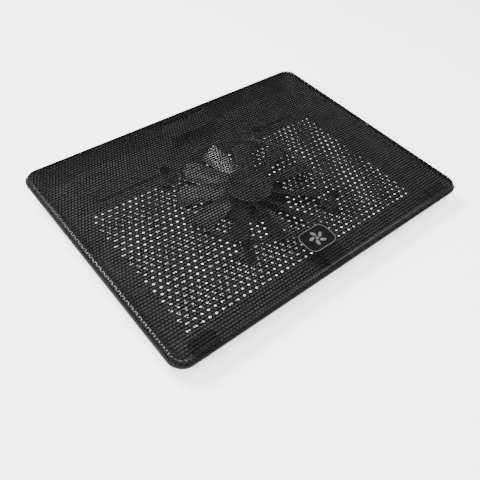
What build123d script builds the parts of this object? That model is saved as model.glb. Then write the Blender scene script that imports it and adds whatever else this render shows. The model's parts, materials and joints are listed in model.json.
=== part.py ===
from build123d import *
import os
from math import atan2, cos, degrees, hypot, radians, sin

# Laptop cooling pad: a black plastic tray under a perforated metal panel, with one large
# slow fan, a small hub board with its sockets, and two fold-out legs at the rear.
# All sizes are in millimetres. The origin is the middle of the footprint, on the surface
# that the pad stands on: +X is right, +Y is the rear edge, +Z is up.

# ---- overall size ----
PAD_WIDTH = 390.0
PAD_DEPTH = 284.0
PAD_HEIGHT = 28.0
CORNER_RADIUS = 16.0

# ---- heights of the main layers ----
FOOT_HEIGHT = 4.2
FLOOR_THICKNESS = 2.0
FLOOR_TOP = FOOT_HEIGHT + FLOOR_THICKNESS
GRIP_RISE = 0.8
MESH_TOP = PAD_HEIGHT - GRIP_RISE
SHEET = 0.6
MESH_UNDERSIDE = MESH_TOP - SHEET

# ---- tray rim: an outer lip round a ledge that carries the mesh panel ----
RIM_BOTTOM = 19.9
LEDGE_TOP = 21.4
LIP_TOP = 23.0
LIP_WIDTH = 1.9
LEDGE_INSET = 5.4
TUB_TOP_INSET = 3.0
TUB_BOTTOM_INSET = 15.0
CAVITY_FLOOR_INSET = 17.2
LIP_ROUND = 0.9
LATCH_X = (-163.0, 0.0, 163.0)
LATCH_WIDTH = 9.0
LATCH_DEPTH = 8.0
LATCH_BOTTOM = 14.6
LATCH_INSET = 2.2

# ---- mesh panel: a sheet folded down all round ----
MESH_INSET = 2.1
MESH_SHOULDER = 3.0

# ---- floor vents ----
VENT_RADIUS = 2.2
VENT_PITCH = 8.16
VENT_ROW_PITCH = 6.70
VENT_COLUMNS = 39
VENT_ROWS = 26
VENT_CENTRE_Y = -21.8

# ---- fan ----
FAN_Y = -4.3
FAN_BOTTOM = 7.0
FAN_TOP = 22.0
RING_INNER = 78.4
RING_OUTER = 80.4
HOOP_BOTTOM = 16.6
POST_WIDTH = 9.0
BLADE_COUNT = 11
BLADE_TIP = 76.6
BLADE_THICKNESS = 1.3
BLADE_LOW = 11.0
BLADE_HIGH = 21.2
BLADE_CAMBER = 0.07
BLADE_START_ANGLE = 86.5
# blade sections: distance from the axis, width across the blade, lean round the axis
BLADE_SECTIONS = [(23.5, 13.0, 0.0), (50.0, 17.5, 2.0), (78.0, 21.5, 5.5)]
HUB_RADIUS = 26.0
HUB_WALL = 1.6
HUB_TOP = 21.6
HUB_SKIRT_BOTTOM = 11.0
HUB_CAVITY_TOP = HUB_TOP - HUB_WALL
HUB_CAVITY_RADIUS = HUB_RADIUS - HUB_WALL
MOTOR_DISC_RADIUS = 40.0
MOTOR_BASE_RADIUS = 27.0
MOTOR_BASE_THICKNESS = 2.0
STRUT_WIDTH = 6.0
STRUT_THICKNESS = 3.0
SHAFT_RADIUS = 1.5
SHAFT_CLEARANCE = 0.04
BEARING_TOP = 17.4
BEARING_RADIUS = 2.98
HOUSING_TUBE_INNER = 3.02
HOUSING_TUBE_OUTER = 4.0
STATOR_LOW = 11.8
STATOR_HIGH = 16.8
STATOR_RADIUS = 19.6
STATOR_BORE = 4.05
SHOE_DEPTH = 3.0
ARM_WIDTH = 4.2
COIL_START = 8.0
COIL_LENGTH = 7.4
MAGNET_GAP = 0.9
MAGNET_HEIGHT = 7.0
YOKE_WALL = 1.35

# ---- bosses and ears of the fan, and columns that hold the mesh up: places from its centre ----
BOSS_REAR_X = 66.0
BOSS_FRONT_X = 62.0
BOSS_Y = 66.0
BOSS_RADIUS = 6.5
BOSS_TOP = 9.2
EAR_THICKNESS = 3.0
EAR_WIDTH = 9.0
POST_LENGTH = 12.0
COLUMN_RADIUS = 4.0
COLUMN_HEAD_RADIUS = 6.0
COLUMN_HEAD = 1.2
COLUMN_ROUND = 0.5
COLUMN_PAD = 0.8
COLUMN_PAD_RADIUS = 5.8

# ---- hub board and sockets, in the housing at the rear edge ----
HOUSING_X = 10.0
HOUSING_WIDTH = 68.0
HOUSING_REAR = 139.4
HOUSING_FRONT = 112.0
PORT_WALL = 2.0
BOARD_UNDERSIDE = 8.6
BOARD_THICKNESS = 1.6
BOARD_TOP = BOARD_UNDERSIDE + BOARD_THICKNESS
BOARD_WIDTH = 60.0
BOARD_DEPTH = 23.4
BOARD_REAR = 136.9
USB_X = 12.0
INLET_X = -8.0
SWITCH_X = 32.0
SWITCH_TRAVEL = 2.0
SWITCH_MIDDLE = SWITCH_X + SWITCH_TRAVEL / 2
USB_Z = BOARD_TOP + 3.4
INLET_Z = BOARD_TOP + 2.0
SWITCH_Z = BOARD_TOP + 1.8
STEM_WIDTH = 2.0
SOCKET_MOUTH_Y = 139.2
USB_SHELL = (13.1, 5.8, 14.0)
USB_INSIDE = (12.4, 5.1, 13.6)
USB_TONGUE = (11.1, 1.9, 10.4)
USB_OPENING = (14.0, 6.8)
INLET_SHELL = (7.7, 4.0, 9.2)
INLET_INSIDE = (7.1, 3.4, 8.8)
INLET_TONGUE = (4.8, 0.9, 6.4)
INLET_OPENING = (8.4, 4.4)
SWITCH_BODY = (8.6, 4.6, 3.6)
SWITCH_BODY_Y = 134.9
KNOB_CAP = (3.2, 2.6, 1.5)
CAPACITOR = (27.0, 122.0)
CAPACITOR_SIZE = (2.5, 6.0)
CHIP = (15.0, 118.0)
CHIP_SIZE = (6.0, 5.0, 1.4)
COIL = (-8.0, 124.0)
COIL_SIZE = (5.0, 5.0, 2.8)
RESISTORS = [(33.0, 128.0), (23.0, 116.5)]
RESISTOR_SIZE = (2.0, 1.2, 0.6)
BOARD_BOSS_RADIUS = 2.6
BOARD_SCREW_HEAD = (2.2, 1.4)
COVER_TOP = 18.4
COVER_WALL = 1.1
COVER_GAP = 0.2
COVER_ROUND = 0.6
COVER_NOTCH = (5.0, 7.8)
COVER_WINDOW = (14.0, 5.2)

# ---- fold-out legs ----
LEG_X = 105.0
LEG_WIDTH = 66.0
LEG_PIVOT_Y = 121.0
LEG_PIVOT_Z = 5.6
LEG_END_Y = 88.0
LEG_THICKNESS = 3.7
LEG_BARREL = 2.4
PIN_RADIUS = 1.0
PIN_GRIP = 1.5
LEG_HOLLOW = (17.0, 21.0, 1.6)
LEG_RIB_PITCH = 20.0
LEG_GRIP_WIDTH = 46.0
LEG_GRIP_THICKNESS = 1.6
POCKET_SIDE = 34.0
POCKET_FRONT = 80.0
POCKET_REAR = 124.3
POCKET_TOP = 8.4
POCKET_CORNER = 1.5
WELL_WALL = 2.0
WELL_CORNER = 3.0
WELL_CEILING = 1.2
WELL_TOP = POCKET_TOP + WELL_CEILING

# ---- front grip pads and badge ----
GRIP_X = (-161.5, 0.0, 161.5)
GRIP_Y = -130.2
GRIP_WIDTH = 25.0
GRIP_DEPTH = 12.0
GRIP_BASE = 1.6
GRIP_MARGIN = 0.6
GRIP_PLACES = [(x, GRIP_Y) for x in GRIP_X]
BADGE_Y = -105.4
BADGE_WIDTH = 37.0
BADGE_DEPTH = 28.0
BADGE_RADIUS = 9.0
BADGE_PLATE = 0.45
BADGE_TRIM = 0.25
BADGE_BORDER = 0.8
BADGE_LINE = 0.6
BADGE_PETALS = 5
BADGE_PETAL_REACH = 5.9

# ---- clips that hold the mesh panel's folded edge against the rim ----
CLIP_REAR_X = (-172.0, -83.0, -29.0, 88.0, 133.0, 172.0)
CLIP_FRONT_X = (-103.0, 60.0, 105.0)
CLIP_LENGTH = 6.0
CLIP_THICKNESS = 1.6
CLIP_HEIGHT = 2.8
CLIP_LINE_X = PAD_WIDTH / 2 - MESH_INSET - SHEET - 0.1 - CLIP_THICKNESS / 2
CLIP_LINE_Y = PAD_DEPTH / 2 - MESH_INSET - SHEET - 0.1 - CLIP_THICKNESS / 2

BOSS_PLACES = [
    (side * (BOSS_REAR_X if end > 0 else BOSS_FRONT_X), FAN_Y + end * BOSS_Y)
    for side in (-1, 1)
    for end in (-1, 1)
]
FOOT_PLACES = [(x, y) for x in (-150.0, 150.0) for y in (-117.0, 108.0)]
FOOT_LENGTH = 24.0
FOOT_WIDTH = 10.0

# ---- levels that follow from the sizes above ----
EAR_TOP = BOSS_TOP + EAR_THICKNESS
COLUMN_TOP = MESH_TOP - SHEET - COLUMN_PAD
MOTOR_BASE_TOP = FAN_BOTTOM + MOTOR_BASE_THICKNESS
SHAFT_BOTTOM = MOTOR_BASE_TOP + 0.3
SCREW_RADIUS = 1.4
SCREW_HEAD = 1.7
SCREW_HEAD_RADIUS = 2.9
SCREW_RECESS_RADIUS = 3.2
SCREW_GRIP = 8.0
SCREW_CLEARANCE = 1.7
SCREW_PILOT = 1.15
LEAD_RADIUS = 0.9
LEAD_Z = 9.1
LEAD_START_R = 20.6
LEAD_PLUG_Z = 12.2
LEAD_CLIP_Y = (80.5, 88.5)
PLUG_FRONT = 112.5
# the lead's points, as distance towards the rear and height
LEAD_ROUTE = [
    (FAN_Y + LEAD_START_R, LEAD_Z),
    (96.0, LEAD_Z),
    (106.0, LEAD_PLUG_Z),
    (PLUG_FRONT, LEAD_PLUG_Z),
]
LEAD_BEND_RADII = [30.0, 19.0]
BOARD_SCREW_PLACES = [(-16.0, 131.0), (37.0, 118.0), (-16.0, 118.0)]


def finish(part, name):
    """Names a finished sub-part and writes it as parts/NAME.step."""
    part.label = name
    export_step(part, f"parts/{name}.step")


def pad_outline(inset, smallest_radius=5.0):
    """The pad's rounded outline, drawn in by an inset, for the sketch that is open."""
    RectangleRounded(
        PAD_WIDTH - 2 * inset,
        PAD_DEPTH - 2 * inset,
        max(CORNER_RADIUS - inset, smallest_radius),
    )


def pocket_outlines(wall, corner):
    """Both leg pockets' outlines, drawn out by a wall, for the sketch that is open."""
    with Locations([(side * LEG_X, (POCKET_FRONT + POCKET_REAR) / 2) for side in (-1, 1)]):
        RectangleRounded(
            2 * (POCKET_SIDE + wall), POCKET_REAR - POCKET_FRONT + 2 * wall, corner
        )


def fan_level(height):
    """A level plane at this height, centred on the fan's axis."""
    return Plane((0, FAN_Y, height))


def vent_is_free(x, y):
    """True where a floor vent clears the motor disc and the bosses under the fan's ears."""
    off_disc = hypot(x, y - FAN_Y) > MOTOR_DISC_RADIUS + VENT_RADIUS
    off_bosses = all(
        hypot(x - cx, y - cy) > BOSS_RADIUS + VENT_RADIUS + 0.4 for cx, cy in BOSS_PLACES
    )
    return off_disc and off_bosses


def vent_places():
    """Centres of the staggered floor vents, row by row from the front."""
    first_y = VENT_CENTRE_Y - VENT_ROW_PITCH * (VENT_ROWS - 1) / 2
    for row in range(VENT_ROWS):
        stagger = VENT_PITCH / 4 * (1 if row % 2 else -1)
        first_x = stagger - VENT_PITCH * (VENT_COLUMNS - 1) / 2
        for column in range(VENT_COLUMNS):
            place = (first_x + column * VENT_PITCH, first_y + row * VENT_ROW_PITCH)
            if vent_is_free(*place):
                yield place


os.makedirs("parts", exist_ok=True)

# ---------------------------------------------------------------- tray

with BuildPart() as base_tray:
    # rim band
    with BuildSketch(Plane.XY.offset(RIM_BOTTOM)):
        pad_outline(0)
    extrude(amount=LIP_TOP - RIM_BOTTOM)
    fillet(base_tray.edges().group_by(Axis.Z)[-1], LIP_ROUND)
    chamfer(base_tray.edges().group_by(Axis.Z)[0], 0.6)
    # tub that slopes in under the rim
    with BuildSketch(Plane.XY.offset(FOOT_HEIGHT)):
        pad_outline(TUB_BOTTOM_INSET)
    with BuildSketch(Plane.XY.offset(RIM_BOTTOM)):
        pad_outline(TUB_TOP_INSET)
    loft()
    # latch blocks under the front of the rim
    latch_y = (LATCH_DEPTH - PAD_DEPTH) / 2 + LATCH_INSET
    with BuildSketch(Plane.XY.offset(LATCH_BOTTOM)):
        with Locations([(x, latch_y) for x in LATCH_X]):
            RectangleRounded(LATCH_WIDTH, LATCH_DEPTH, 1)
    extrude(amount=RIM_BOTTOM - LATCH_BOTTOM)
    # port housing, upright at the rear
    housing_middle = (HOUSING_FRONT + HOUSING_REAR) / 2
    with BuildSketch(Plane.XY.offset(FOOT_HEIGHT)):
        with Locations((HOUSING_X, housing_middle)):
            Rectangle(HOUSING_WIDTH, HOUSING_REAR - HOUSING_FRONT)
    extrude(amount=RIM_BOTTOM - FOOT_HEIGHT)
    # hollow: seat for the mesh panel, then the cavity
    with BuildSketch(Plane.XY.offset(LEDGE_TOP)):
        pad_outline(LIP_WIDTH)
    extrude(amount=LIP_TOP - LEDGE_TOP, mode=Mode.SUBTRACT)
    with BuildSketch(Plane.XY.offset(RIM_BOTTOM)):
        pad_outline(LEDGE_INSET)
    extrude(amount=LEDGE_TOP - RIM_BOTTOM, mode=Mode.SUBTRACT)
    with BuildSketch(Plane.XY.offset(FLOOR_TOP)):
        pad_outline(CAVITY_FLOOR_INSET)
    with BuildSketch(Plane.XY.offset(RIM_BOTTOM)):
        pad_outline(LEDGE_INSET)
    loft(mode=Mode.SUBTRACT)
    # room for the hub board inside the housing
    with BuildSketch(Plane.XY.offset(FLOOR_TOP)):
        with Locations((HOUSING_X, housing_middle - PORT_WALL)):
            Rectangle(HOUSING_WIDTH - 2 * PORT_WALL, HOUSING_REAR - HOUSING_FRONT)
    extrude(amount=LEDGE_TOP - FLOOR_TOP, mode=Mode.SUBTRACT)
    # openings for the two leg wells
    with BuildSketch(Plane.XY.offset(FOOT_HEIGHT)):
        pocket_outlines(WELL_WALL, WELL_CORNER)
    extrude(amount=WELL_TOP - FOOT_HEIGHT, mode=Mode.SUBTRACT)
    # bosses under the fan's ears, and under the board
    with BuildSketch(Plane.XY.offset(FOOT_HEIGHT)):
        with Locations(BOSS_PLACES):
            Circle(BOSS_RADIUS)
    extrude(amount=BOSS_TOP - FOOT_HEIGHT)
    with BuildSketch(Plane.XY.offset(FLOOR_TOP)):
        with Locations(BOARD_SCREW_PLACES):
            Circle(BOARD_BOSS_RADIUS)
    extrude(amount=BOARD_UNDERSIDE - FLOOR_TOP)
    # screw holes
    with BuildSketch(Plane.XY.offset(FOOT_HEIGHT)):
        with Locations(BOSS_PLACES):
            Circle(SCREW_CLEARANCE)
    extrude(amount=BOSS_TOP - FOOT_HEIGHT, mode=Mode.SUBTRACT)
    with BuildSketch(Plane.XY.offset(FOOT_HEIGHT)):
        with Locations(BOSS_PLACES):
            Circle(SCREW_RECESS_RADIUS)
    extrude(amount=FLOOR_THICKNESS, mode=Mode.SUBTRACT)
    with BuildSketch(Plane.XY.offset(FLOOR_TOP - 0.4)):
        with Locations(BOARD_SCREW_PLACES):
            Circle(SCREW_PILOT)
    extrude(amount=BOARD_UNDERSIDE - FLOOR_TOP + 0.4, mode=Mode.SUBTRACT)
    # socket and switch openings in the port wall, drawn looking at the rear
    with BuildSketch(Plane.XZ.offset(-HOUSING_REAR)):
        with Locations((USB_X, USB_Z)):
            RectangleRounded(*USB_OPENING, 0.6)
        with Locations((INLET_X, INLET_Z)):
            RectangleRounded(*INLET_OPENING, 0.8)
        with Locations((SWITCH_MIDDLE, SWITCH_Z)):
            RectangleRounded(STEM_WIDTH + SWITCH_TRAVEL + 1.0, 2.4, 0.6)
    extrude(amount=PORT_WALL, mode=Mode.SUBTRACT)
    # floor vents
    with BuildSketch(Plane.XY.offset(FOOT_HEIGHT)):
        with Locations(list(vent_places())):
            Circle(VENT_RADIUS)
    extrude(amount=FLOOR_THICKNESS, mode=Mode.SUBTRACT)
finish(base_tray.part, "base_tray")

with BuildPart() as leg_wells:
    with BuildSketch(Plane.XY.offset(FOOT_HEIGHT)):
        pocket_outlines(WELL_WALL, WELL_CORNER)
    extrude(amount=WELL_TOP - FOOT_HEIGHT)
    with BuildSketch(Plane.XY.offset(FOOT_HEIGHT)):
        pocket_outlines(0, POCKET_CORNER)
    extrude(amount=POCKET_TOP - FOOT_HEIGHT, mode=Mode.SUBTRACT)
    # pivot holes in the sides
    for side in (-1, 1):
        with BuildSketch(Plane.YZ.offset(side * LEG_X - POCKET_SIDE - PIN_GRIP - 0.1)):
            with Locations((LEG_PIVOT_Y, LEG_PIVOT_Z)):
                Circle(PIN_RADIUS + 0.02)
        extrude(amount=2 * (POCKET_SIDE + PIN_GRIP + 0.1), mode=Mode.SUBTRACT)
finish(leg_wells.part, "leg_wells")

# ---------------------------------------------------------------- mesh panel

with BuildPart() as mesh_hollow:
    with BuildSketch(Plane.XY.offset(LEDGE_TOP)):
        pad_outline(MESH_INSET + SHEET)
    extrude(amount=MESH_UNDERSIDE - LEDGE_TOP)
    fillet(mesh_hollow.edges().group_by(Axis.Z)[-1], MESH_SHOULDER - SHEET)

with BuildPart() as top_mesh_panel:
    with BuildSketch(Plane.XY.offset(LEDGE_TOP)):
        pad_outline(MESH_INSET)
    extrude(amount=MESH_TOP - LEDGE_TOP)
    fillet(top_mesh_panel.edges().group_by(Axis.Z)[-1], MESH_SHOULDER)
    add(mesh_hollow.part, mode=Mode.SUBTRACT)
    # windows that stand for the holes which the grip pads fill
    with BuildSketch(Plane.XY.offset(MESH_UNDERSIDE)):
        with Locations(GRIP_PLACES):
            RectangleRounded(GRIP_WIDTH, GRIP_DEPTH, 2.5)
    extrude(amount=SHEET, mode=Mode.SUBTRACT)
finish(top_mesh_panel.part, "top_mesh_panel")

with BuildPart() as mesh_clips:
    with BuildSketch(Plane.XY.offset(LEDGE_TOP)):
        with Locations([(x, CLIP_LINE_Y) for x in CLIP_REAR_X]):
            Rectangle(CLIP_LENGTH, CLIP_THICKNESS)
        with Locations([(x, -CLIP_LINE_Y) for x in CLIP_FRONT_X]):
            Rectangle(CLIP_LENGTH, CLIP_THICKNESS)
        with Locations([(side * CLIP_LINE_X, FAN_Y) for side in (-1, 1)]):
            Rectangle(CLIP_THICKNESS, CLIP_LENGTH)
    extrude(amount=CLIP_HEIGHT)
    chamfer(mesh_clips.edges().group_by(Axis.Z)[-1], 0.3)
finish(mesh_clips.part, "mesh_clips")

with BuildPart() as front_grip_pads:
    with BuildSketch(Plane.XY.offset(MESH_UNDERSIDE - GRIP_BASE)):
        with Locations(GRIP_PLACES):
            RectangleRounded(GRIP_WIDTH + 2 * GRIP_MARGIN, GRIP_DEPTH + 2 * GRIP_MARGIN, 3)
    extrude(amount=GRIP_BASE)
    with BuildSketch(Plane.XY.offset(MESH_UNDERSIDE)):
        with Locations(GRIP_PLACES):
            RectangleRounded(GRIP_WIDTH - 0.4, GRIP_DEPTH - 0.4, 2.3)
    extrude(amount=SHEET + GRIP_RISE)
    fillet(front_grip_pads.edges().group_by(Axis.Z)[-1], 0.5)
finish(front_grip_pads.part, "front_grip_pads")

# ---------------------------------------------------------------- badge


def badge_outline(inset, mode=Mode.ADD):
    """The badge's rounded outline, drawn in by an inset, for the sketch that is open."""
    RectangleRounded(
        BADGE_WIDTH - 2 * inset, BADGE_DEPTH - 2 * inset, BADGE_RADIUS - inset, mode=mode
    )


with BuildPart() as badge_plate:
    with BuildSketch(Plane((0, BADGE_Y, MESH_TOP))):
        badge_outline(0)
    extrude(amount=BADGE_PLATE)
    fillet(badge_plate.edges().group_by(Axis.Z)[-1], 0.2)
finish(badge_plate.part, "badge_plate")

with BuildPart() as badge_trim:
    with BuildSketch(Plane((0, BADGE_Y, MESH_TOP + BADGE_PLATE))):
        badge_outline(BADGE_BORDER)
        badge_outline(BADGE_BORDER + BADGE_LINE, mode=Mode.SUBTRACT)
        Circle(1.7)
        with PolarLocations(BADGE_PETAL_REACH, BADGE_PETALS, start_angle=90):
            Ellipse(3.4, 1.75, rotation=24)
    extrude(amount=BADGE_TRIM)
finish(badge_trim.part, "badge_trim")

# ---------------------------------------------------------------- fan fixings

with BuildPart() as support_columns:
    with BuildSketch(Plane.XY.offset(COLUMN_TOP - COLUMN_HEAD)):
        with Locations(BOSS_PLACES):
            Circle(COLUMN_HEAD_RADIUS)
    extrude(amount=COLUMN_HEAD)
    fillet(support_columns.edges().group_by(Axis.Z)[0], COLUMN_ROUND)
    with BuildSketch(Plane.XY.offset(EAR_TOP)):
        with Locations(BOSS_PLACES):
            Circle(COLUMN_RADIUS)
    extrude(amount=COLUMN_TOP - EAR_TOP)
    with BuildSketch(Plane.XY.offset(EAR_TOP)):
        with Locations(BOSS_PLACES):
            Circle(SCREW_RADIUS + 0.02)
    extrude(amount=SCREW_GRIP + 0.5, mode=Mode.SUBTRACT)
finish(support_columns.part, "support_columns")

with BuildPart() as column_pads:
    with BuildSketch(Plane.XY.offset(COLUMN_TOP)):
        with Locations(BOSS_PLACES):
            Circle(COLUMN_PAD_RADIUS)
    extrude(amount=COLUMN_PAD)
finish(column_pads.part, "column_pads")

with BuildPart() as mount_screws:
    with BuildSketch(Plane.XY.offset(FLOOR_TOP - SCREW_HEAD)):
        with Locations(BOSS_PLACES):
            Circle(SCREW_HEAD_RADIUS)
    extrude(amount=SCREW_HEAD)
    chamfer(mount_screws.edges().group_by(Axis.Z)[0], 0.4)
    with BuildSketch(Plane.XY.offset(FLOOR_TOP - SCREW_HEAD)):
        with Locations(BOSS_PLACES):
            RegularPolygon(1.25, 6)
    extrude(amount=0.9, mode=Mode.SUBTRACT)
    with BuildSketch(Plane.XY.offset(FLOOR_TOP)):
        with Locations(BOSS_PLACES):
            Circle(SCREW_RADIUS)
    extrude(amount=EAR_TOP + SCREW_GRIP - FLOOR_TOP)
finish(mount_screws.part, "mount_screws")

# ---------------------------------------------------------------- fan frame

with BuildPart() as fan_frame:
    # ring
    with BuildSketch(fan_level(FAN_BOTTOM)):
        Circle(RING_OUTER)
        Circle(RING_INNER, mode=Mode.SUBTRACT)
    extrude(amount=FAN_TOP - FAN_BOTTOM)
    inner_rim = fan_frame.edges().group_by(Axis.Z)[-1].sort_by(SortBy.LENGTH)[0]
    chamfer(inner_rim, 0.9)
    # below the hoop, the ring goes on only as posts at the struts and the ears
    strut_ways = [90 * turn for turn in range(4)]
    ear_ways = [degrees(atan2(y - FAN_Y, x)) for x, y in BOSS_PLACES]
    with BuildSketch(fan_level(FAN_BOTTOM)):
        Circle(RING_OUTER + 1)
        Circle(RING_INNER - 1, mode=Mode.SUBTRACT)
        for way in strut_ways + ear_ways:
            spot = (RING_OUTER * cos(radians(way)), RING_OUTER * sin(radians(way)), 0)
            with Locations(Location(spot, (0, 0, way))):
                Rectangle(POST_LENGTH, POST_WIDTH, mode=Mode.SUBTRACT)
    extrude(amount=HOOP_BOTTOM - FAN_BOTTOM, mode=Mode.SUBTRACT)
    # motor base and struts
    with BuildSketch(fan_level(FAN_BOTTOM)):
        Circle(MOTOR_BASE_RADIUS)
    extrude(amount=MOTOR_BASE_THICKNESS)
    strut_length = RING_INNER - MOTOR_BASE_RADIUS + 2
    with BuildSketch(fan_level(FAN_BOTTOM)):
        with PolarLocations(MOTOR_BASE_RADIUS - 1 + strut_length / 2, 4):
            Rectangle(strut_length, STRUT_WIDTH)
    extrude(amount=STRUT_THICKNESS)
    # ears out to the bosses
    with BuildSketch(Plane.XY.offset(BOSS_TOP)):
        with Locations(BOSS_PLACES):
            Circle(BOSS_RADIUS + 0.5)
        for x, y in BOSS_PLACES:
            reach = hypot(x, y - FAN_Y)
            middle = (reach + RING_INNER + 1) / 2
            turn = degrees(atan2(y - FAN_Y, x))
            spot = (middle * cos(radians(turn)), FAN_Y + middle * sin(radians(turn)))
            with Locations(Location((*spot, 0), (0, 0, turn))):
                Rectangle(reach - RING_INNER - 1, EAR_WIDTH)
        with Locations(BOSS_PLACES):
            Circle(SCREW_CLEARANCE, mode=Mode.SUBTRACT)
    extrude(amount=EAR_THICKNESS)
    # channel for the lead along the rear strut and out through the ring
    channel_middle = (LEAD_START_R + RING_OUTER + 1) / 2
    with BuildSketch(fan_level(LEAD_Z - LEAD_RADIUS - 0.05)):
        with Locations((0, channel_middle)):
            Rectangle(2 * LEAD_RADIUS + 0.4, RING_OUTER + 1 - LEAD_START_R)
    extrude(amount=2 * LEAD_RADIUS + 0.3, mode=Mode.SUBTRACT)
finish(fan_frame.part, "fan_frame")

# ---------------------------------------------------------------- fan motor, still parts

with BuildPart() as bearing_housing:
    with BuildSketch(fan_level(MOTOR_BASE_TOP)):
        Circle(HOUSING_TUBE_OUTER)
        Circle(HOUSING_TUBE_INNER, mode=Mode.SUBTRACT)
    extrude(amount=BEARING_TOP + 0.2 - MOTOR_BASE_TOP)
finish(bearing_housing.part, "bearing_housing")

with BuildPart() as motor_bearing:
    with BuildSketch(fan_level(SHAFT_BOTTOM + 0.1)):
        Circle(BEARING_RADIUS)
        Circle(SHAFT_RADIUS + SHAFT_CLEARANCE, mode=Mode.SUBTRACT)
    extrude(amount=BEARING_TOP - SHAFT_BOTTOM - 0.1)
finish(motor_bearing.part, "motor_bearing")

with BuildPart() as motor_board:
    with BuildSketch(fan_level(MOTOR_BASE_TOP)):
        Circle(LEAD_START_R - 0.1)
        Circle(4.3, mode=Mode.SUBTRACT)
    extrude(amount=1.0)
finish(motor_board.part, "motor_board")

with BuildPart() as stator_core:
    with BuildSketch(fan_level(STATOR_LOW)):
        Circle(STATOR_RADIUS)
        Circle(STATOR_RADIUS - SHOE_DEPTH, mode=Mode.SUBTRACT)
        with PolarLocations(STATOR_RADIUS, 4, start_angle=45):
            Rectangle(12, 6.5, mode=Mode.SUBTRACT)
        Circle(7.5)
        with PolarLocations(STATOR_RADIUS / 2 + 2, 4):
            Rectangle(STATOR_RADIUS - 7, ARM_WIDTH)
        Circle(STATOR_BORE, mode=Mode.SUBTRACT)
    extrude(amount=STATOR_HIGH - STATOR_LOW)
finish(stator_core.part, "stator_core")

with BuildPart() as stator_coils:
    for turn in range(4):
        outward = Vector(1, 0, 0).rotate(Axis.Z, 90 * turn)
        seat = Vector(0, FAN_Y, (STATOR_LOW + STATOR_HIGH) / 2) + outward * COIL_START
        with BuildSketch(Plane(origin=seat, x_dir=(0, 0, 1), z_dir=outward)):
            RectangleRounded(6.8, 9.5, 1.6)
            Rectangle(5.4, 4.6, mode=Mode.SUBTRACT)
        extrude(amount=COIL_LENGTH)
finish(stator_coils.part, "stator_coils")

# ---------------------------------------------------------------- fan rotor

with BuildPart() as one_blade:
    for distance, width, lean in BLADE_SECTIONS:
        with BuildSketch(Plane.YZ.offset(distance)):
            with BuildLine():
                high = Vector(lean - width / 2, BLADE_HIGH)
                low = Vector(lean + width / 2, BLADE_LOW)
                chord = low - high
                across = Vector(-chord.Y, chord.X).normalized()
                edge = across * (BLADE_THICKNESS / 4)
                camber = across * (-width * BLADE_CAMBER)
                half = across * (BLADE_THICKNESS / 2)
                middle = (high + low) * 0.5 + camber
                ThreePointArc(high + edge, middle + half, low + edge)
                Line(low + edge, low - edge)
                ThreePointArc(low - edge, middle - half, high - edge)
                Line(high - edge, high + edge)
            make_face()
    loft()
    with BuildSketch(Plane.XY.offset(BLADE_LOW - 2)):
        Circle(BLADE_TIP)
    extrude(amount=BLADE_HIGH - BLADE_LOW + 4, mode=Mode.INTERSECT)

with BuildPart() as impeller:
    with BuildSketch(fan_level(HUB_SKIRT_BOTTOM)):
        Circle(HUB_RADIUS)
    extrude(amount=HUB_TOP - HUB_SKIRT_BOTTOM)
    fillet(impeller.edges().group_by(Axis.Z)[-1], 1.2)
    with Locations((0, FAN_Y, 0)):
        with PolarLocations(0, BLADE_COUNT, start_angle=BLADE_START_ANGLE):
            add(one_blade.part)
    with BuildSketch(fan_level(BLADE_LOW - 2)):
        Circle(HUB_CAVITY_RADIUS)
    extrude(amount=HUB_CAVITY_TOP - BLADE_LOW + 2, mode=Mode.SUBTRACT)
    with BuildSketch(fan_level(BEARING_TOP + 0.5)):
        Circle(4.0)
        Circle(SHAFT_RADIUS + 0.02, mode=Mode.SUBTRACT)
    extrude(amount=HUB_CAVITY_TOP - BEARING_TOP - 0.5)
finish(impeller.part, "impeller")

with BuildPart() as rotor_yoke:
    with BuildSketch(fan_level(HUB_SKIRT_BOTTOM + 0.6)):
        Circle(HUB_CAVITY_RADIUS - 0.05)
        Circle(HUB_CAVITY_RADIUS - 0.05 - YOKE_WALL, mode=Mode.SUBTRACT)
    extrude(amount=HUB_CAVITY_TOP - HUB_SKIRT_BOTTOM - 0.6)
finish(rotor_yoke.part, "rotor_yoke")

with BuildPart() as rotor_magnet:
    with BuildSketch(fan_level(HUB_SKIRT_BOTTOM + 0.6)):
        Circle(HUB_CAVITY_RADIUS - 0.1 - YOKE_WALL)
        Circle(STATOR_RADIUS + MAGNET_GAP, mode=Mode.SUBTRACT)
    extrude(amount=MAGNET_HEIGHT)
finish(rotor_magnet.part, "rotor_magnet")

with BuildPart() as rotor_shaft:
    with BuildSketch(fan_level(SHAFT_BOTTOM)):
        Circle(SHAFT_RADIUS)
    extrude(amount=HUB_CAVITY_TOP - SHAFT_BOTTOM)
    chamfer(rotor_shaft.edges().group_by(Axis.Z)[0], 0.3)
finish(rotor_shaft.part, "rotor_shaft")

# ---------------------------------------------------------------- fan lead

with BuildPart() as fan_lead:
    with BuildLine(Plane.YZ) as lead_line:
        FilletPolyline(*LEAD_ROUTE, radius=LEAD_BEND_RADII)
    with BuildSketch(Plane.XZ.offset(-LEAD_ROUTE[0][0])):
        with Locations((0, LEAD_Z)):
            Circle(LEAD_RADIUS)
    sweep(path=lead_line.wires()[0])
finish(fan_lead.part, "fan_lead")

with BuildPart() as lead_clips:
    with BuildSketch(Plane.XY.offset(FLOOR_TOP)):
        with Locations([(0, y) for y in LEAD_CLIP_Y]):
            Rectangle(6, 3.5)
    extrude(amount=LEAD_Z + LEAD_RADIUS + 0.9 - FLOOR_TOP)
    with BuildSketch(Plane.XZ.offset(-LEAD_CLIP_Y[-1] - 5)):
        with Locations((0, LEAD_Z)):
            Circle(LEAD_RADIUS + 0.05)
    extrude(amount=LEAD_CLIP_Y[-1] - LEAD_CLIP_Y[0] + 10, mode=Mode.SUBTRACT)
finish(lead_clips.part, "lead_clips")

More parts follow.
